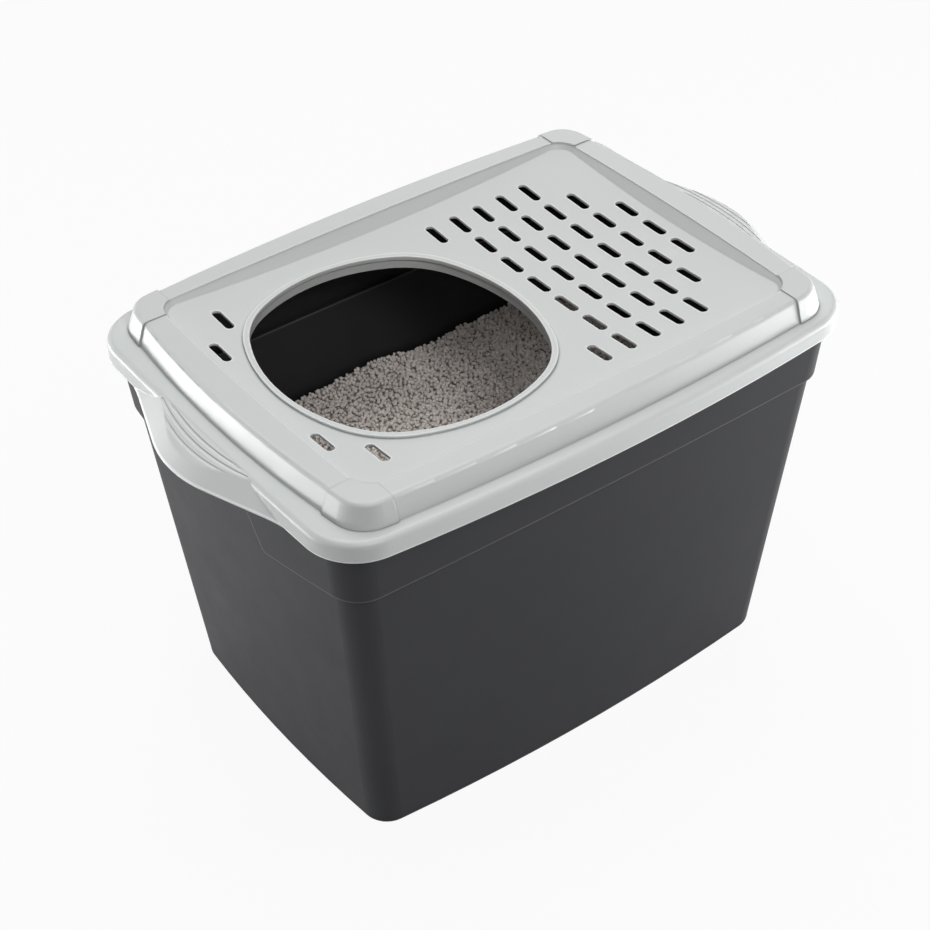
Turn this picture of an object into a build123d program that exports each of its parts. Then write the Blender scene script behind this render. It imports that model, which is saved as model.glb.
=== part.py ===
from build123d import *
from math import hypot
import os

os.makedirs("parts", exist_ok=True)

# A bowed outline is (half length, half width, bow of the short sides, bow of the long
# sides, corner radius); the half sizes are taken at the middle of each bowed side.
# The origin is the middle of the tub's underside: X long, Y wide, Z up. All in mm.

# ---- tub: walls, collar, rim ------------------------------------------------------------
FOOT = (218.8, 152.8, 7.1, 10.8, 24.0)          # the walls where they meet the ground
WAIST = (246.1, 169.4, 7.5, 3.5, 24.0)          # the walls just under the collar
WAIST_Z = 286.0
TUB_WALL = 2.8
TUB_FLOOR = 3.0
FOOT_ROUND = 7.0                                # outer radius between floor and walls
FOOT_BLOCK = 8.0                                # height of the upright foot of the walls
COLLAR_FOOT_Z = 290.0                           # lower edge of the collar, long sides
COLLAR_OUT = 4.0                                # how far the collar stands off the wall
GRIP_FOOT_Z = 270.0                             # collar's lower edge beside a finger recess
GRIP_FOOT_HALF = 52.0                           # half width of the recess, low on its slant
GRIP_KNEE_Z = 308.0
GRIP_TOP_HALF = 37.0                            # half width of the recess from knee to rim
GRIP_SLOPE_END = 150.0                          # where the sloping edge reaches the corner
GRIP_TURN_ROUND = 6.0                           # roundness of the recess outline's turns
COLLAR_TOOL_LOW_Z = 255.0
RIM_THICK = 2.6                                 # turned-out rim the lid stands on
RIM_LIP_THICK = 2.4
RIM_LIP_DROP = 8.0                              # down-turned edge of that rim
RIM_EDGE_BEVEL = 2.0

# ---- lid: skirt and shelf ----------------------------------------------------------------
LID_SKIN = 2.4
SKIRT_FOOT_Z = 342.0
SHELF_Z = 359.5
SHELF = (262.4, 196.7, 3.0, 15.0, 47.0)         # outer face of the skirt
SKIRT_TOP_ROUND = 5.5
SKIRT_INNER_BEVEL = 1.5

# ---- lid: handles -------------------------------------------------------------------------
HANDLE_OUT = 30.1                               # how far the handles' feet stand out
HANDLE_TIP_HALF = 20.0
HANDLE_ROOT_HALF = 113.0
HANDLE_END_HALF = 134.0
HANDLE_ROUND = 110.0
HANDLE_SINK = 3.0                               # the handles' roots lie this far inside the skirt
HANDLE_INNER = 40.0                             # how far a handle's body reaches into the shelf
HANDLE_LEAN = 0.9                               # run over rise of a handle's leaning outer face
CROWN_FROM_X = 252.0                            # where the handles' tops begin to curve down
CROWN_RADIUS = 68.6
CREST_ROUND = 4.0                               # between a handle's top and its outer face
GROOVES = ((275.7, 10.6), (269.5, 8.7), (263.9, 7.4), (257.4, 6.3))   # (middle x, bow)
GROOVE_HALF = 62.0
GROOVE_WIDTH = 2.0
GROOVE_DEPTH = 0.6

# ---- lid: plateau ---------------------------------------------------------------------------
BAND_Z = 379.0                                  # flat border round the dished panel
PLATEAU_BASE = (247.7, 182.5, 13.1, 10.8, 29.0)
PLATEAU_LEAN = 6.7                              # how far its walls lean in over their height
PLATEAU_TOP_ROUND = 4.5
PAD_RISE = 1.0                                  # the corner pads stand this much proud
PAD_OUT = 1.2
PAD_FROM_X = 201.0
PAD_FROM_Y = 133.0
PAD_ZONE = 80.0

# ---- lid: dished panel --------------------------------------------------------------------
RECESS = (216.0, 153.5, 3.5, 3.5, 20.0)         # the panel's edge in the flat border
RECESS_STEP = 1.0                               # upright edge before the riser slopes inward
RISER_RUN = 9.4                                 # slope of the riser: run over fall
RISER_FALL = 14.0
DISH_DEPTH = 18.2                               # middle of the dish below the border
DISH_RADIUS_X = 2959.0                          # radius of the dish along the box
DISH_RADIUS_Y = 1639.0                          # radius of the dish across the box
DISH_TURN = 10.0                                # degrees of turn swept by the dish tool
DISH_HALF_Y = 200.0

# ---- lid: entry opening --------------------------------------------------------------------
ENTRY_X = -75.0
ENTRY = (117.0, 122.4, 29.0, 29.0, 80.0)
ENTRY_LIP = 4.6                                 # width of the raised lip round the opening
ENTRY_LIP_RISE = 2.4
ENTRY_WALL = 2.2
ENTRY_WALL_DROP = 10.0                          # short wall turned down inside the opening

# ---- lid: slots --------------------------------------------------------------------------
SLOT_LENGTH = 27.5
SLOT_WIDTH = 8.0
SLOT_PITCH_X = 25.38
SLOT_PITCH_Y = 36.7
SLOT_FIRST_X = 194.6                            # column nearest the far end
# row number from the middle: first and last column right of the opening, columns on its left
SLOT_ROWS = {
    -3: (2, 6, (-174.0,)),
    -2: (1, 5, (-199.3,)),
    -1: (0, 5, ()),
    0: (0, 5, ()),
    1: (0, 5, ()),
    2: (1, 5, (-199.3,)),
    3: (2, 6, (-174.0,)),
}

# ---- litter ----------------------------------------------------------------------------------
LITTER_TOP_Z = 213.0
LITTER_CLEARANCE = 0.3

# ---- fit of the lid on the rim ---------------------------------------------------------------
LID_CLEARANCE = 1.5                             # between the rim's edge and the skirt
OVERRUN = 5.0                                   # how far a cutting tool runs past a face
ZONE_HALF_X = 300.0                             # reach of tools wider than the whole box
ZONE_HALF_Y = 220.0

SHELF_UNDER_Z = SHELF_Z - LID_SKIN              # the lid's shelf rests on the rim here
RIM_Z = SHELF_UNDER_Z
NEAR = 1.0                                      # margin when edges are picked by their place
TINY = 0.01


def outline(size, z, grow=0.0):
    """A rectangle with four bowed sides and round corners, lying at height z."""
    half_x, half_y, bow_x, bow_y, corner = size
    half_x += grow
    half_y += grow
    end_x = half_x - bow_x
    end_y = half_y - bow_y
    sides = [
        ThreePointArc((end_x, end_y), (0, half_y), (-end_x, end_y)),
        ThreePointArc((-end_x, end_y), (-half_x, 0), (-end_x, -end_y)),
        ThreePointArc((-end_x, -end_y), (0, -half_y), (end_x, -end_y)),
        ThreePointArc((end_x, -end_y), (half_x, 0), (end_x, end_y)),
    ]
    sharp = make_face(Curve() + sides)
    return Pos(0, 0, z) * fillet(sharp.vertices(), corner + grow)


def block(size, low_z, high_z, grow=0.0):
    """An upright body on a bowed outline."""
    return extrude(outline(size, low_z, grow), high_z - low_z)


def edges_at(body, z):
    return body.edges().filter_by_position(Axis.Z, z - TINY, z + TINY)


def leaning(body, z, run, rise):
    """The body with its walls leaning in towards its flat end at height z."""
    end = body.faces().filter_by_position(Axis.Z, z - TINY, z + TINY)[0]
    return chamfer(end.edges(), run, rise, reference=end)


def wall_line(z):
    """The outline of the tub's walls at height z; past the waist they keep their lean."""
    share = z / WAIST_Z
    half_x = FOOT[0] + (WAIST[0] - FOOT[0]) * share
    half_y = FOOT[1] + (WAIST[1] - FOOT[1]) * share
    rest = [low + (high - low) * min(share, 1) for low, high in zip(FOOT[2:], WAIST[2:])]
    return (half_x, half_y, *rest)


def walls(low_z, high_z, grow=0.0):
    """A body inside the tub's wall surface, moved outward or inward by grow."""
    levels = [low_z, high_z]
    if low_z < WAIST_Z < high_z:
        levels.insert(1, WAIST_Z)
    return loft([outline(wall_line(z), z, grow) for z in levels], ruled=True)


# ---- tub ---------------------------------------------------------------------------------------
def collar_zone(inset=0.0):
    """Where the collar stands: above its lower edge and beside the two finger recesses."""
    top = RIM_Z + OVERRUN
    zone = None
    for side in (-1, 1):
        profile = Polygon(
            (side * (GRIP_TOP_HALF + inset), top),
            (side * (GRIP_TOP_HALF + inset), GRIP_KNEE_Z),
            (side * (GRIP_FOOT_HALF + inset), GRIP_FOOT_Z + inset),
            (side * GRIP_SLOPE_END, COLLAR_FOOT_Z + inset),
            (side * ZONE_HALF_Y, COLLAR_FOOT_Z + inset),
            (side * ZONE_HALF_Y, top),
            align=None,
        )
        turns = [v for v in profile.vertices() if v.Y < top - NEAR and abs(v.X) < ZONE_HALF_Y - NEAR]
        profile = fillet(turns, GRIP_TURN_ROUND)
        side_zone = extrude(Plane.YZ * profile, ZONE_HALF_X, both=True)
        zone = side_zone if zone is None else zone + side_zone
    return zone


def make_tub():
    foot = block(wall_line(FOOT_BLOCK), 0, FOOT_BLOCK)
    body = fillet(edges_at(foot, 0), FOOT_ROUND)
    body += walls(FOOT_BLOCK, RIM_Z)
    body += walls(COLLAR_TOOL_LOW_Z, RIM_Z, COLLAR_OUT) & collar_zone()
    edge = -(LID_SKIN + LID_CLEARANCE)
    rim = block(SHELF, RIM_Z - RIM_LIP_DROP, RIM_Z, edge)
    rim = leaning(rim, RIM_Z, RIM_EDGE_BEVEL, RIM_EDGE_BEVEL)
    body += rim - block(SHELF, RIM_Z - RIM_LIP_DROP, RIM_Z - RIM_THICK, edge - RIM_LIP_THICK)
    hollow = walls(TUB_FLOOR, RIM_Z + OVERRUN, -TUB_WALL)
    pocket = walls(COLLAR_TOOL_LOW_Z, RIM_Z + OVERRUN, COLLAR_OUT - TUB_WALL)
    return body - (hollow + (pocket & collar_zone(TUB_WALL)))


def make_litter():
    return walls(TUB_FLOOR, LITTER_TOP_Z, -(TUB_WALL + LITTER_CLEARANCE))


# ---- lid: dished panel ---------------------------------------------------------------------------
def above_dish(drop=0.0):
    """The space above the dished panel, or above its underside when dropped by the skin."""
    low = BAND_Z - DISH_DEPTH - drop
    rise = DISH_HALF_Y ** 2 / (2 * (DISH_RADIUS_Y + drop))
    top = BAND_Z + OVERRUN + rise
    profile = Plane.YZ * make_face(Curve() + [
        ThreePointArc((-DISH_HALF_Y, low + rise), (0, low), (DISH_HALF_Y, low + rise)),
        Line((DISH_HALF_Y, low + rise), (DISH_HALF_Y, top)),
        Line((DISH_HALF_Y, top), (-DISH_HALF_Y, top)),
        Line((-DISH_HALF_Y, top), (-DISH_HALF_Y, low + rise)),
    ])
    axis = Axis((0, 0, low + DISH_RADIUS_X + drop), (0, 1, 0))
    return revolve(profile.rotate(axis, -DISH_TURN / 2), axis, DISH_TURN)


def recess(grow=0.0, drop=0.0):
    """The dished recess, or the same grown by the skin to leave the panel and its riser."""
    slope_z = BAND_Z - RECESS_STEP
    foot_z = slope_z - RISER_FALL
    rim = leaning(block(RECESS, foot_z, BAND_Z + OVERRUN, grow), foot_z, RISER_RUN, RISER_FALL)
    core = block(RECESS, BAND_Z - DISH_DEPTH - OVERRUN, foot_z + TINY, grow - RISER_RUN)
    return (rim + core) & above_dish(drop)


# ---- lid: handles ----------------------------------------------------------------------------------
def handle_blank(grow=0.0):
    """One handle as a solid: a bell in plan whose outer face leans in as it rises."""
    inner_x = SHELF[0] - HANDLE_INNER
    root_x = SHELF[0] - HANDLE_SINK + grow
    tip_x = SHELF[0] + HANDLE_OUT + grow
    rise = SHELF_Z - SKIRT_FOOT_Z
    bell = Polygon(
        (inner_x, -HANDLE_END_HALF),
        (root_x, -HANDLE_END_HALF),
        (root_x, -HANDLE_ROOT_HALF),
        (tip_x, -HANDLE_TIP_HALF),
        (tip_x, HANDLE_TIP_HALF),
        (root_x, HANDLE_ROOT_HALF),
        (root_x, HANDLE_END_HALF),
        (inner_x, HANDLE_END_HALF),
        align=None,
    )
    turns = [v for v in bell.vertices() if abs(v.Y) < HANDLE_ROOT_HALF + NEAR]
    blank = extrude(Pos(0, 0, SKIRT_FOOT_Z - OVERRUN) * fillet(turns, HANDLE_ROUND), rise + OVERRUN)
    top = blank.faces().sort_by(Axis.Z)[-1]
    outer = [e for e in top.edges() if e.bounding_box().min.X > inner_x + NEAR]
    return chamfer(outer, rise * HANDLE_LEAN, rise, reference=top)


def crown(low, drop=0.0):
    """The space from a level up to the handles' tops, which curve down towards the tip."""
    tip_x = SHELF[0] + HANDLE_OUT + OVERRUN
    top = SHELF_Z - drop
    fall = (tip_x - CROWN_FROM_X) ** 2 / (2 * CROWN_RADIUS)
    middle_x = (tip_x + CROWN_FROM_X) / 2
    profile = make_face(Curve() + [
        Line((0, top), (CROWN_FROM_X, top)),
        ThreePointArc((CROWN_FROM_X, top), (middle_x, top - fall / 4), (tip_x, top - fall)),
        Line((tip_x, top - fall), (tip_x, low)),
        Line((tip_x, low), (0, low)),
        Line((0, low), (0, top)),
    ])
    return extrude(Plane.XZ * profile, ZONE_HALF_Y, both=True)


def handle():
    """The right handle with its rounded crest and its grip grooves."""
    body = handle_blank() & crown(SKIRT_FOOT_Z)
    tip_x = SHELF[0] + HANDLE_OUT
    crest = [
        e for e in body.edges()
        if abs((e @ 0.5).Y) < TINY and CROWN_FROM_X + TINY < (e @ 0.5).X < tip_x - TINY
    ]
    body = fillet(crest, CREST_ROUND)
    below = crown(SKIRT_FOOT_Z, GROOVE_DEPTH)
    for middle, bow in GROOVES:
        line = ThreePointArc((middle - bow, -GROOVE_HALF), (middle, 0), (middle - bow, GROOVE_HALF))
        strip = Pos(0, 0, SKIRT_FOOT_Z + OVERRUN) * SlotArc(line, GROOVE_WIDTH)
        body -= extrude(strip, SHELF_Z - SKIRT_FOOT_Z) - below
    return body


def both_ends(body):
    """A body at the right end and its mirror image at the left end."""
    return body, mirror(body, Plane.YZ)


# ---- lid: outer and inner surface --------------------------------------------------------------------
def plateau(grow=0.0, top_z=BAND_Z, round_top=True):
    """The raised middle of the lid, up to the border round the dished panel."""
    rise = BAND_Z - SHELF_Z
    body = block(PLATEAU_BASE, top_z - rise - OVERRUN, top_z, grow)
    body = leaning(body, top_z, PLATEAU_LEAN, rise)
    if round_top:
        body = fillet(edges_at(body, top_z), PLATEAU_TOP_ROUND)
    return body


def pads():
    """The corners of the border, standing slightly proud."""
    whole = plateau(PAD_OUT, BAND_Z + PAD_RISE)
    found = []
    for side_x in (-1, 1):
        for side_y in (-1, 1):
            x = side_x * (PAD_FROM_X + PAD_ZONE / 2)
            y = side_y * (PAD_FROM_Y + PAD_ZONE / 2)
            found.append(whole & Pos(x, y, BAND_Z) * Box(PAD_ZONE, PAD_ZONE, PAD_ZONE))
    return found


def lid_outside():
    skirt = block(SHELF, SKIRT_FOOT_Z, SHELF_Z)
    skirt = fillet(edges_at(skirt, SHELF_Z), SKIRT_TOP_ROUND)
    for end in both_ends(handle()):
        skirt += end
    shell = skirt + plateau()
    for pad in pads():
        shell += pad
    return shell


def lid_inside():
    """The space under the lid's skin."""
    low = SKIRT_FOOT_Z - OVERRUN
    space = block(SHELF, low, SHELF_UNDER_Z, -LID_SKIN)
    space = leaning(space, SHELF_UNDER_Z, SKIRT_INNER_BEVEL, SKIRT_INNER_BEVEL)
    grip = handle_blank(-LID_SKIN * hypot(1, HANDLE_LEAN)) & crown(low, LID_SKIN)
    for end in both_ends(grip):
        space += end
    space += plateau(-LID_SKIN, BAND_Z - LID_SKIN, round_top=False) - recess(LID_SKIN, LID_SKIN)
    return space


# ---- lid: entry opening and slots ----------------------------------------------------------------------
def entry_ring(outer, inner, drop, rise):
    """A ring round the entry opening, from below the panel's upper face to above it."""
    low = BAND_Z - DISH_DEPTH - drop - OVERRUN
    ring = block(ENTRY, low, BAND_Z, outer) - block(ENTRY, low, BAND_Z, inner)
    return (Pos(ENTRY_X, 0, 0) * ring & above_dish(drop)) - above_dish(-rise)


def slot_tools():
    face = SlotOverall(SLOT_LENGTH, SLOT_WIDTH, rotation=90)
    low = BAND_Z - DISH_DEPTH - OVERRUN
    tools = []
    for row, (first, last, left) in SLOT_ROWS.items():
        columns = [SLOT_FIRST_X - SLOT_PITCH_X * number for number in range(first, last + 1)]
        for x in columns + list(left):
            tools.append(extrude(Pos(x, row * SLOT_PITCH_Y, low) * face, BAND_Z - low))
    return tools


def make_lid():
    lid = lid_outside() - recess()
    lid -= lid_inside()
    lid -= Pos(ENTRY_X, 0, 0) * block(ENTRY, SKIRT_FOOT_Z, BAND_Z, -ENTRY_WALL / 2)
    lid += entry_ring(ENTRY_WALL / 2, -ENTRY_WALL / 2, ENTRY_WALL_DROP, 0)
    lid += entry_ring(ENTRY_LIP / 2, -ENTRY_LIP / 2, LID_SKIN / 2, ENTRY_LIP_RISE)
    return lid - slot_tools()


# ---- one solid per piece -------------------------------------------------------------------------------
for name, piece in (("tub", make_tub()), ("lid", make_lid()), ("litter_bed", make_litter())):
    solid = piece.solid()
    solid.label = name
    export_step(solid, f"parts/{name}.step")
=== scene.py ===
from math import pi

import bmesh
import bpy
import numpy as np
from mathutils import Euler, Matrix, Vector


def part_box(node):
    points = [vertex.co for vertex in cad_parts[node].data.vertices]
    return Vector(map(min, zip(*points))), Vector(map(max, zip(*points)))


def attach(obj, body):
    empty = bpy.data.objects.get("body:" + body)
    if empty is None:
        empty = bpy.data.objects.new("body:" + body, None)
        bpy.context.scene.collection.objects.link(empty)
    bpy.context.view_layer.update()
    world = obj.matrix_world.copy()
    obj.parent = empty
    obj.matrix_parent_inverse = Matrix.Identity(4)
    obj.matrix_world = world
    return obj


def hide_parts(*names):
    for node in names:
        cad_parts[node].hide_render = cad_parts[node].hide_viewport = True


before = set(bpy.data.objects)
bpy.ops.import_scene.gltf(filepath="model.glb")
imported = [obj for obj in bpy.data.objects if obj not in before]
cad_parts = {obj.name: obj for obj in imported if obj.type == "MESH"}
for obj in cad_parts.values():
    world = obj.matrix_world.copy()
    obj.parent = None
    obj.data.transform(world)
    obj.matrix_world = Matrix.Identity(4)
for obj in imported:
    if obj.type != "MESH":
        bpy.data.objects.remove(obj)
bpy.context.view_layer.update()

MM = 0.001
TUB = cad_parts["tub"]
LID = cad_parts["lid"]

# ---- camera, matched to the photograph ----
CAMERA_AT = Vector((-0.85665, -1.16323, 1.37257))
CAMERA_RIGHT = Vector((0.80062786, -0.59887964, -0.01839047))
CAMERA_UP = Vector((0.38890021, 0.49607212, 0.77631764))
CAMERA_BACK = Vector((-0.45579783, -0.62869359, 0.63007358))
CAMERA_LENS = 82.69
CAMERA_SENSOR = 36.0
CAMERA_CLIP = (0.05, 50.0)

# ---- colours, linear ----
WHITE = (1, 1, 1, 1)
LID_GREY = (0.590, 0.612, 0.604, 1)
# painted highlight: the pale colour laid along each edge of the lid
LID_EDGE_HIGHLIGHT = (0.84, 0.85, 0.845, 1)
TUB_GREY = (0.025, 0.0255, 0.029, 1)
# painted highlight: the pale colour laid along each edge of the tub
TUB_EDGE_HIGHLIGHT = (0.14, 0.14, 0.15, 1)
# painted shade: the darker litter tone of the packed bed under the grains
LITTER_IN_SHADE = (0.30, 0.26, 0.23, 1)
LITTER_MID = (0.66, 0.60, 0.56, 1)
LITTER_PALE = (0.80, 0.75, 0.71, 1)
FLOOR_GREY = (0.60, 0.60, 0.60, 1)

# ---- moulded plastic: a noise is (scale, detail, roughness), a bump is (strength, height) ----
PLASTIC_IOR = 1.5
RAY_SAMPLES = 6                      # for the bevel and the occlusion nodes
DRIFT_NOISE = (5.0, 3.0, 0.5)        # slow drift in tone
DRIFT_BAND = (0.3, 0.7)              # noise values with the darkest and the palest tone
HAZE_NOISE = (22.0, 5.0, 0.6)        # uneven gloss
HAZE_BAND = (0.3, 0.75)
HAZE_SPREAD = (-0.03, 0.04)          # roughness at the two ends of that band, from its mean
RIPPLE_NOISE = (90.0, 2.0, 0.5)
RIPPLE_BUMP = (0.05, 0.5 * MM)
SKIN_NOISE = (1600.0, 2.0, 0.5)
SKIN_BUMP = (0.12, 0.1 * MM)
EDGE_ROUND = 1.5 * MM                # how wide the shading rounds a sharp edge
EDGE_HIGHLIGHT_REACH = 2.1 * MM                # how wide the painted highlight along an edge is
EDGE_HIGHLIGHT_BAND = (0.55, 0.92)             # inner openness at which an edge's painted highlight is full, and gone
CORNER_SHADE_REACH = 2.5 * MM              # how far the painted shade in the lid's corners and creases reaches
OVERHANG_SHADOW_REACH = 12.0 * MM           # how far the painted shadow of the lid's skirt reaches on the tub under it
CORNER_SHADE_BAND = (0.35, 0.95)           # openness at which the painted shade is darkest, and gone
# the darkest painted shade, as a share of the colour
CORNER_SHADE = 0.5
LID_FOOT_HIGHLIGHT_TOP = 343.2 * MM                # the lid's skirt has a painted highlight up to here, along its lower edge
PAD_FROM = (199 * MM, 131 * MM)      # beyond both, on the lid's corner pads, no edge gets a painted highlight

# ---- litter ----
LITTER_SEED = 11
LITTER_ROUGHNESS = 0.95
UNDER_SHADE = 0.8                    # darkest painted shade under the grains, as a share of the shaded litter tone
DUST_NOISE = (1400.0, 3.0, 0.7)
DUST_BUMP = (0.5, 0.3 * MM)
GRAIN_SPACING = 3.9 * MM
ROW_SHARE = 0.866                    # rows of grains lie this share of the spacing apart
GRAIN_JITTER = 0.24                  # sideways, as a share of the spacing
GRAIN_LIFT = 0.6 * MM                # spread of the grains' heights
GRAIN_RADIUS = (1.4 * MM, 2.35 * MM)
GRAIN_STRETCH = ((0.9, 1.2), (0.8, 1.05), (0.7, 1.0))
GRAIN_ROUGH = 0.10                   # how knobbly a grain is
GRAIN_SINK = 1.8 * MM                # grain centres lie this far under the raked surface
GRAIN_LAYERS = ((2, 0.0), (1, 2.8 * MM))   # (fineness of a grain, depth), top layer first
BED_DROP = 4.2 * MM                  # packed litter under the loose grains
BED_BASE_DROP = 14.0 * MM            # the CAD fill's top is lowered by this
BED_TUCK = 1.0 * MM                  # how far the uneven top's sides reach into the fill
BED_EDGE = 0.6 * MM                  # room left between that top and the wall
BED_BOW_X = 7.4 * MM                 # how far the bed's short sides bow out
BED_BOW_Y = 5.4 * MM
BED_CORNER = 20.9 * MM
BED_CELL = 5.0 * MM
TOP_SLACK = 0.1 * MM                 # vertices this near the fill's top belong to it
MERGE_REACH = 0.01 * MM
HALVINGS = 24
RAKE_HEIGHT = 1.6 * MM               # how much the raked surface rises and falls
RAKE_WAVES = (                       # (per metre along x, along y, phase, share)
    (17, 9, 0, 1.0),
    (-13, 29, 1, 1.0),
    (61, 47, 0, 0.5),
)
MOUNDS = (                           # heaps of litter: (x, y, height, spread) in mm
    (-8, 152, 7.5, 46),
    (150, 142, 8.0, 40),
    (97, 160, 3.5, 20),
    (-78, 150, 3.0, 20),
    (-170, 60, 4.5, 48),
    (-150, -90, 3.5, 40),
    (30, -96, 5.0, 52),
    (190, -60, 4.5, 44),
    (60, 40, 2.5, 40),
)

# ---- stage ----
FLOOR_HALF = 6.0
FLOOR_CELLS = 8
FLOOR_SHARE = 0.93                   # how much of the floor is plain white for the camera
REFLECTED_SHARE = 0.3                # how much of that white shows in reflections
WORLD_LIGHT = 0.06
LAMP_AIM = Vector((0, 0, 0.25))
LAMPS = (                            # name, place, width and height in metres, watts
    ("top", (0.3, 0.6, 2.6), 1.8, 1.8, 36),
    ("back", (0.0, 2.5, 1.4), 1.8, 1.4, 6),
    ("back_right", (1.9, 1.7, 1.3), 1.6, 1.4, 9),
    ("front_high", (-0.3, -1.6, 2.2), 0.8, 0.8, 20),
    ("front_left_high", (-1.3, -1.5, 2.2), 0.8, 0.8, 6),
    ("right_low", (1.35, -0.5, 0.12), 0.7, 0.2, 18),
    ("front_right_low", (1.3, -1.0, 0.2), 0.8, 0.3, 7),
    ("left_low", (-1.4, 0.75, 0.1), 0.7, 0.16, 8),
    ("back_left_low", (-0.95, 1.2, 0.1), 0.8, 0.16, 10),
)


# ---- node helpers ----
def new_material(name):
    material = bpy.data.materials.new(name)
    material.use_nodes = True
    material.node_tree.nodes.clear()
    return material, material.node_tree.nodes, material.node_tree.links


def feed(links, value, socket):
    """Gives a socket another node's output, or a plain value."""
    if isinstance(value, bpy.types.NodeSocket):
        links.new(value, socket)
    else:
        socket.default_value = value


def shader(nodes, links, **sockets):
    """A Principled shader wired to the output; its own sockets are set by name."""
    principled = nodes.new("ShaderNodeBsdfPrincipled")
    output = nodes.new("ShaderNodeOutputMaterial")
    links.new(principled.outputs["BSDF"], output.inputs["Surface"])
    for name, value in sockets.items():
        principled.inputs[name.replace("_", " ")].default_value = value
    return principled


def object_space(nodes):
    return nodes.new("ShaderNodeTexCoord").outputs["Object"]


def noise(nodes, links, where, scale, detail, roughness):
    texture = nodes.new("ShaderNodeTexNoise")
    texture.inputs["Scale"].default_value = scale
    texture.inputs["Detail"].default_value = detail
    texture.inputs["Roughness"].default_value = roughness
    links.new(where, texture.inputs["Vector"])
    return texture.outputs["Fac"]


def ramp(nodes, links, factor, places, colours):
    """A blend from the first colour to the second between two values of the factor."""
    band = nodes.new("ShaderNodeValToRGB")
    for element, place, colour in zip(band.color_ramp.elements, places, colours):
        element.position = place
        element.color = colour
    links.new(factor, band.inputs["Fac"])
    return band.outputs["Color"]


def blended(nodes, links, factor, first, second, blend="MIX"):
    mix = nodes.new("ShaderNodeMix")
    mix.data_type = "RGBA"
    mix.blend_type = blend
    feed(links, factor, mix.inputs["Factor"])
    feed(links, first, mix.inputs["A"])
    feed(links, second, mix.inputs["B"])
    return mix.outputs["Result"]


def reckoned(nodes, links, operation, first, second=0.0):
    """A Math node's result; either number may be another node's output."""
    node = nodes.new("ShaderNodeMath")
    node.operation = operation
    feed(links, first, node.inputs[0])
    feed(links, second, node.inputs[1])
    return node.outputs[0]


def bump(nodes, links, height, strength, distance, before=None):
    node = nodes.new("ShaderNodeBump")
    node.inputs["Strength"].default_value = strength
    node.inputs["Distance"].default_value = distance
    links.new(height, node.inputs["Height"])
    if before is not None:
        links.new(before, node.inputs["Normal"])
    return node.outputs["Normal"]


def openness(nodes, reach, inside, local):
    """How open the surface is within a reach: low in corners, or at edges when inside."""
    node = nodes.new("ShaderNodeAmbientOcclusion")
    node.samples = RAY_SAMPLES
    node.inside = inside
    node.only_local = local
    node.inputs["Distance"].default_value = reach
    return node.outputs["AO"]


def grey(value):
    return (value, value, value, 1)


def shade(colour, factor):
    return tuple(channel * factor for channel in colour[:3]) + (1,)


# ---- materials ----
def lid_highlight_places(nodes, links, where, edge_highlight):
    """Where the lid gets painted highlights: along each edge except on its pads, and along the foot
    of its skirt.
    """
    axes = nodes.new("ShaderNodeSeparateXYZ")
    links.new(where, axes.inputs["Vector"])
    clear = []
    for axis, start in zip("XY", PAD_FROM):
        away = reckoned(nodes, links, "ABSOLUTE", axes.outputs[axis])
        clear.append(reckoned(nodes, links, "LESS_THAN", away, start))
    off_pads = reckoned(nodes, links, "MAXIMUM", *clear)
    edge_highlight = reckoned(nodes, links, "MULTIPLY", edge_highlight, off_pads)
    foot = reckoned(nodes, links, "LESS_THAN", axes.outputs["Z"], LID_FOOT_HIGHLIGHT_TOP)
    return reckoned(nodes, links, "MAXIMUM", edge_highlight, foot)


def moulded_plastic(name, colour, edge_highlight_colour, roughness, specular, tone_spread, for_lid):
    """Satin plastic: faint tone drift, uneven gloss, fine skin, a painted highlight along each
    edge, painted shade in the lid's corners and creases, and on the tub painted shade in its
    corners and under the lid's skirt.
    """
    material, nodes, links = new_material(name)
    principled = shader(nodes, links, IOR=PLASTIC_IOR, Specular_IOR_Level=specular)
    where = object_space(nodes)

    tones = [shade(colour, 1 - tone_spread), shade(colour, 1 + tone_spread)]
    body = ramp(nodes, links, noise(nodes, links, where, *DRIFT_NOISE), DRIFT_BAND, tones)
    # painted highlight: a mask of each sharp edge, from occlusion inside the part
    inner = openness(nodes, EDGE_HIGHLIGHT_REACH, True, True)
    edge_highlight = ramp(nodes, links, inner, EDGE_HIGHLIGHT_BAND, [grey(1), grey(0)])
    if for_lid:
        edge_highlight = lid_highlight_places(nodes, links, where, edge_highlight)
        # painted shade in the lid's corners and creases
        outer = openness(nodes, CORNER_SHADE_REACH, False, True)
    else:
        # painted shadow of the lid's skirt, and painted shade in corners, on the tub
        outer = openness(nodes, OVERHANG_SHADOW_REACH, False, False)
    painted_shade = ramp(nodes, links, outer, CORNER_SHADE_BAND, [grey(CORNER_SHADE), grey(1)])
    # painted highlight: the colour is paled along each edge
    body = blended(nodes, links, edge_highlight, body, edge_highlight_colour)
    # painted shade: the colour is darkened in corners and, on the tub, under the lid's skirt
    body = blended(nodes, links, 1.0, body, painted_shade, "MULTIPLY")
    links.new(body, principled.inputs["Base Color"])

    haze = noise(nodes, links, where, *HAZE_NOISE)
    gloss = ramp(nodes, links, haze, HAZE_BAND, [grey(roughness + part) for part in HAZE_SPREAD])
    links.new(gloss, principled.inputs["Roughness"])

    rounded = nodes.new("ShaderNodeBevel")
    rounded.samples = RAY_SAMPLES
    rounded.inputs["Radius"].default_value = EDGE_ROUND
    ripple = noise(nodes, links, where, *RIPPLE_NOISE)
    normal = bump(nodes, links, ripple, *RIPPLE_BUMP, rounded.outputs["Normal"])
    normal = bump(nodes, links, noise(nodes, links, where, *SKIN_NOISE), *SKIN_BUMP, normal)
    links.new(normal, principled.inputs["Normal"])
    return material


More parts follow.
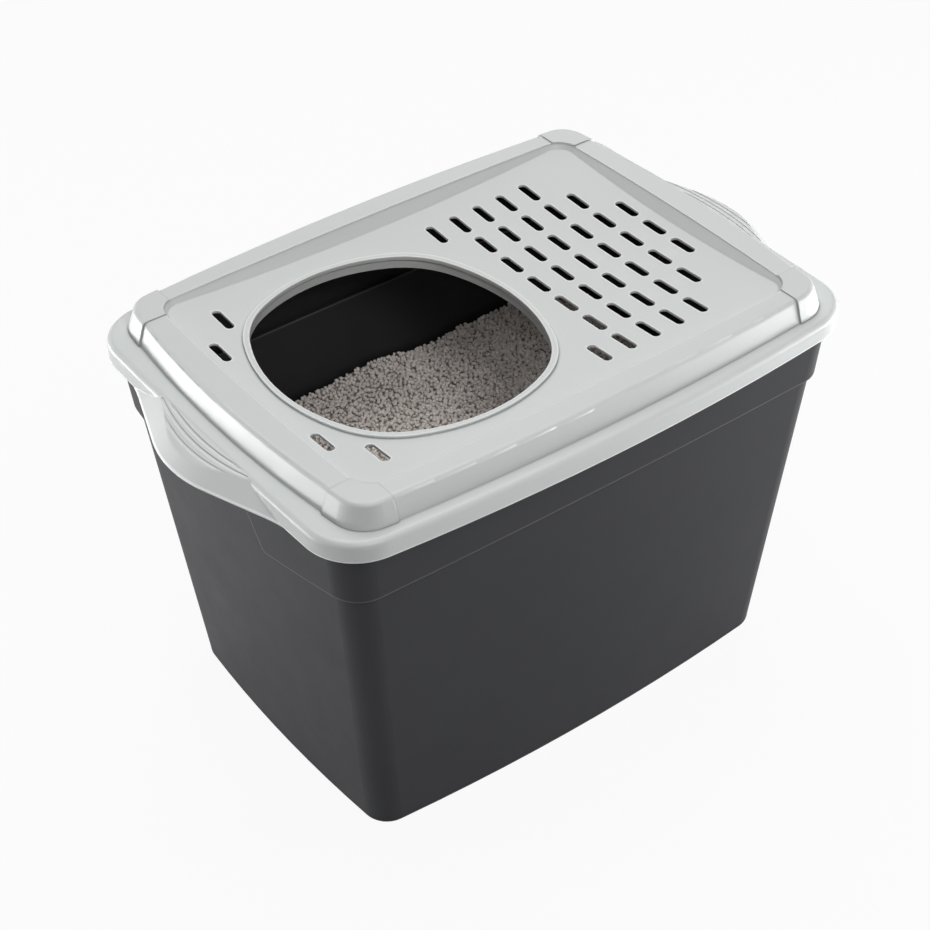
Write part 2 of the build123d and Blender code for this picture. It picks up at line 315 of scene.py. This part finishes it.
def litter_material(name, darkest, palest):
    """Dry clay granules: warm pale grey, each grain a slightly different tone, dusty and matte."""
    material, nodes, links = new_material(name)
    principled = shader(nodes, links, Roughness=LITTER_ROUGHNESS)
    where = object_space(nodes)
    cells = nodes.new("ShaderNodeTexVoronoi")
    cells.inputs["Scale"].default_value = 1 / GRAIN_SPACING
    links.new(where, cells.inputs["Vector"])
    tone = nodes.new("ShaderNodeSeparateColor")
    links.new(cells.outputs["Color"], tone.inputs["Color"])
    colour = ramp(nodes, links, tone.outputs["Red"], (0.0, 1.0), [darkest, palest])
    links.new(colour, principled.inputs["Base Color"])
    dust = noise(nodes, links, where, *DUST_NOISE)
    links.new(bump(nodes, links, dust, *DUST_BUMP), principled.inputs["Normal"])
    return material


def set_material(obj, material):
    obj.data.materials.clear()
    obj.data.materials.append(material)


# ---- litter pieces ----
def add_object(name, data):
    obj = bpy.data.objects.new(name, data)
    bpy.context.collection.objects.link(obj)
    return obj


def room_inside(x, y, half_x, half_y):
    """Distance from points to the bed's bowed, round-cornered edge, positive inside."""
    reach_x = half_x - BED_BOW_X * (y / half_y) ** 2
    reach_y = half_y - BED_BOW_Y * (x / half_x) ** 2
    out_x = np.abs(x) - (reach_x - BED_CORNER)
    out_y = np.abs(y) - (reach_y - BED_CORNER)
    corner = np.hypot(np.maximum(out_x, 0), np.maximum(out_y, 0))
    return BED_CORNER - corner - np.minimum(np.maximum(out_x, out_y), 0)


def raked(x, y):
    """The gentle rise and fall of the litter's surface, with its heaps."""
    waves = [share * np.sin(by_x * x + by_y * y + phase) for by_x, by_y, phase, share in RAKE_WAVES]
    height = RAKE_HEIGHT * sum(waves) / sum(wave[-1] for wave in RAKE_WAVES)
    for mound_x, mound_y, rise, spread in MOUNDS:
        away = ((x - mound_x * MM) ** 2 + (y - mound_y * MM) ** 2) / (spread * MM) ** 2
        height = height + rise * MM * np.exp(-away)
    return height


def pulled_inside(x, y, half_x, half_y):
    """Points outside the bed's edge moved towards its middle until they lie on it."""
    near = np.zeros_like(x)
    far = np.ones_like(x)
    for _ in range(HALVINGS):
        middle = (near + far) / 2
        inside = room_inside(x * middle, y * middle, half_x, half_y) >= BED_EDGE
        near = np.where(inside, middle, near)
        far = np.where(inside, far, middle)
    keep = room_inside(x, y, half_x, half_y) >= BED_EDGE
    share = np.where(keep, 1.0, near)
    return x * share, y * share


def packed_bed(top, half_x, half_y):
    """The litter under the loose grains: the CAD fill lowered, with an uneven top laid on it."""
    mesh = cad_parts["litter_bed"].data.copy()
    bed = add_object("litter_packed", mesh)
    work = bmesh.new()
    work.from_mesh(mesh)
    bmesh.ops.remove_doubles(work, verts=work.verts, dist=MERGE_REACH)
    for vert in work.verts:
        if vert.co.z > top - TOP_SLACK:
            vert.co.z = top - BED_BASE_DROP
    columns = int(2 * half_x / BED_CELL)
    rows = int(2 * half_y / BED_CELL)
    line_x = np.linspace(-half_x, half_x, columns)
    line_y = np.linspace(-half_y, half_y, rows)
    grid_x, grid_y = np.meshgrid(line_x, line_y)
    x, y = pulled_inside(grid_x.ravel(), grid_y.ravel(), half_x, half_y)
    z = top - BED_DROP + raked(x, y)
    cap = [work.verts.new(place) for place in zip(x, y, z)]
    for row in range(rows - 1):
        for column in range(columns - 1):
            first = row * columns + column
            above = first + columns
            work.faces.new([cap[first], cap[first + 1], cap[above + 1], cap[above]])
    rim = list(range(columns))
    rim += [row * columns + columns - 1 for row in range(1, rows)]
    rim += [(rows - 1) * columns + column for column in range(columns - 2, -1, -1)]
    rim += [row * columns for row in range(rows - 2, 0, -1)]
    foot = top - BED_BASE_DROP - BED_TUCK
    low = [work.verts.new((x[index], y[index], foot)) for index in rim]
    for step, index in enumerate(rim):
        after = (step + 1) % len(rim)
        work.faces.new([cap[index], low[step], low[after], cap[rim[after]]])
    work.faces.new(low[::-1])
    work.to_mesh(mesh)
    work.free()
    for polygon in mesh.polygons:
        polygon.use_smooth = False
    return bed


def unit_ball(fineness):
    ball = bmesh.new()
    bmesh.ops.create_icosphere(ball, subdivisions=fineness, radius=1.0)
    verts = np.array([vert.co[:] for vert in ball.verts])
    faces = np.array([[vert.index for vert in face.verts] for face in ball.faces])
    ball.free()
    return verts, faces


def loose_grains(top, half_x, half_y):
    """Irregular granules on a jittered lattice, two layers deep, as one mesh."""
    random = np.random.default_rng(LITTER_SEED)
    all_verts = []
    all_faces = []
    count = 0
    row_gap = GRAIN_SPACING * ROW_SHARE
    for fineness, depth in GRAIN_LAYERS:
        ball_verts, ball_faces = unit_ball(fineness)
        columns = int(2 * half_x / GRAIN_SPACING) + 1
        rows = int(2 * half_y / row_gap) + 1
        grid_x, grid_y = np.meshgrid(np.arange(columns), np.arange(rows))
        x = -half_x + GRAIN_SPACING * (grid_x + 0.5 * (grid_y % 2)).ravel()
        y = -half_y + row_gap * grid_y.ravel()
        x = x + random.normal(0, GRAIN_JITTER * GRAIN_SPACING, x.shape) + depth
        y = y + random.normal(0, GRAIN_JITTER * GRAIN_SPACING, y.shape)
        keep = room_inside(x, y, half_x, half_y) > GRAIN_RADIUS[1]
        x = x[keep]
        y = y[keep]
        total = len(x)
        radius = random.uniform(*GRAIN_RADIUS, total)
        z = top - GRAIN_SINK - depth + raked(x, y) + random.normal(0, GRAIN_LIFT, total)
        stretch = [random.uniform(*limits, total) for limits in GRAIN_STRETCH]
        stretch = np.stack(stretch, axis=1)
        angles = random.uniform(-pi, pi, (total, 3))
        turn = np.array([Euler(angle).to_matrix() for angle in angles])
        knobbly = 1 + random.normal(0, GRAIN_ROUGH, (total, len(ball_verts), 1))
        grains = ball_verts[None] * knobbly * stretch[:, None] * radius[:, None, None]
        grains = np.einsum("nij,nkj->nki", turn, grains) + np.stack([x, y, z], axis=1)[:, None]
        all_verts.append(grains.reshape(-1, 3))
        shift = count + len(ball_verts) * np.arange(total)
        all_faces.append((ball_faces[None] + shift[:, None, None]).reshape(-1, 3))
        count += total * len(ball_verts)
    verts = np.concatenate(all_verts)
    faces = np.concatenate(all_faces)
    mesh = bpy.data.meshes.new("litter_grains")
    mesh.vertices.add(len(verts))
    mesh.vertices.foreach_set("co", verts.ravel())
    mesh.loops.add(faces.size)
    mesh.loops.foreach_set("vertex_index", faces.ravel())
    mesh.polygons.add(len(faces))
    mesh.polygons.foreach_set("loop_start", np.arange(0, faces.size, 3))
    mesh.polygons.foreach_set("use_smooth", np.ones(len(faces), dtype=bool))
    mesh.update(calc_edges=True)
    return add_object("litter_grains", mesh)


def make_litter():
    low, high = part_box("litter_bed")
    half_x = (high[0] - low[0]) / 2
    half_y = (high[1] - low[1]) / 2
    bed = packed_bed(high[2], half_x, half_y)
    grains = loose_grains(high[2], half_x, half_y)
    set_material(grains, litter_material("litter_granules", LITTER_MID, LITTER_PALE))
    # painted shade: the packed bed gets a darker copy of the litter's tone, for the shade between
    # the grains
    darkest = shade(LITTER_IN_SHADE, UNDER_SHADE)
    set_material(bed, litter_material("litter_under_painted_shade", darkest, LITTER_IN_SHADE))
    for piece in (bed, grains):
        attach(piece, "box")
        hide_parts("litter_bed")


# ---- stage ----
def white_for_camera(nodes, links, lit, white, output, share):
    """Blend the lit shader with plain white for the camera and, fainter, for reflections."""
    path = nodes.new("ShaderNodeLightPath")
    seen = path.outputs["Is Camera Ray"]
    for ray in ("Is Glossy Ray", "Is Transmission Ray"):
        faint = reckoned(nodes, links, "MULTIPLY", path.outputs[ray], REFLECTED_SHARE)
        seen = reckoned(nodes, links, "MAXIMUM", seen, faint)
    white.inputs["Color"].default_value = WHITE
    white.inputs["Strength"].default_value = 1.0
    mix = nodes.new("ShaderNodeMixShader")
    links.new(reckoned(nodes, links, "MULTIPLY", seen, share), mix.inputs["Fac"])
    links.new(lit, mix.inputs[1])
    links.new(white.outputs[0], mix.inputs[2])
    links.new(mix.outputs[0], output.inputs["Surface"])


def make_floor():
    mesh = bpy.data.meshes.new("studio_floor")
    work = bmesh.new()
    bmesh.ops.create_grid(work, x_segments=FLOOR_CELLS, y_segments=FLOOR_CELLS, size=FLOOR_HALF)
    work.to_mesh(mesh)
    work.free()
    floor = add_object("studio_floor", mesh)
    material, nodes, links = new_material("studio_floor")
    diffuse = nodes.new("ShaderNodeBsdfDiffuse")
    diffuse.inputs["Color"].default_value = FLOOR_GREY
    output = nodes.new("ShaderNodeOutputMaterial")
    white = nodes.new("ShaderNodeEmission")
    white_for_camera(nodes, links, diffuse.outputs[0], white, output, FLOOR_SHARE)
    set_material(floor, material)


def make_world():
    world = bpy.data.worlds.new("studio")
    bpy.context.scene.world = world
    world.use_nodes = True
    nodes = world.node_tree.nodes
    links = world.node_tree.links
    nodes.clear()
    sky = nodes.new("ShaderNodeBackground")
    sky.inputs["Color"].default_value = WHITE
    sky.inputs["Strength"].default_value = WORLD_LIGHT
    output = nodes.new("ShaderNodeOutputWorld")
    white = nodes.new("ShaderNodeBackground")
    white_for_camera(nodes, links, sky.outputs[0], white, output, 1.0)


def softbox(name, at, width, height, watts):
    lamp = bpy.data.lights.new(name, "AREA")
    lamp.shape = "RECTANGLE"
    lamp.size = width
    lamp.size_y = height
    lamp.energy = watts
    obj = add_object(name, lamp)
    obj.location = at
    obj.rotation_euler = (LAMP_AIM - Vector(at)).to_track_quat("-Z", "Y").to_euler()


def make_camera():
    data = bpy.data.cameras.new("camera")
    data.lens = CAMERA_LENS
    data.sensor_width = CAMERA_SENSOR
    data.clip_start, data.clip_end = CAMERA_CLIP
    camera = add_object("camera", data)
    turn = Matrix((CAMERA_RIGHT, CAMERA_UP, CAMERA_BACK)).transposed()
    camera.matrix_world = Matrix.Translation(CAMERA_AT) @ turn.to_4x4()
    bpy.context.scene.camera = camera


# ---- build ----
lid_plastic = moulded_plastic(
    "lid_grey_plastic", LID_GREY, LID_EDGE_HIGHLIGHT,
    roughness=0.38, specular=0.5, tone_spread=0.012, for_lid=True,
)
tub_plastic = moulded_plastic(
    "tub_graphite_plastic", TUB_GREY, TUB_EDGE_HIGHLIGHT,
    roughness=0.45, specular=0.3, tone_spread=0.05, for_lid=False,
)
set_material(LID, lid_plastic)
set_material(TUB, tub_plastic)
make_litter()
make_floor()
make_world()
for lamp in LAMPS:
    softbox(*lamp)
make_camera()
bpy.context.scene.view_settings.view_transform = "Standard"
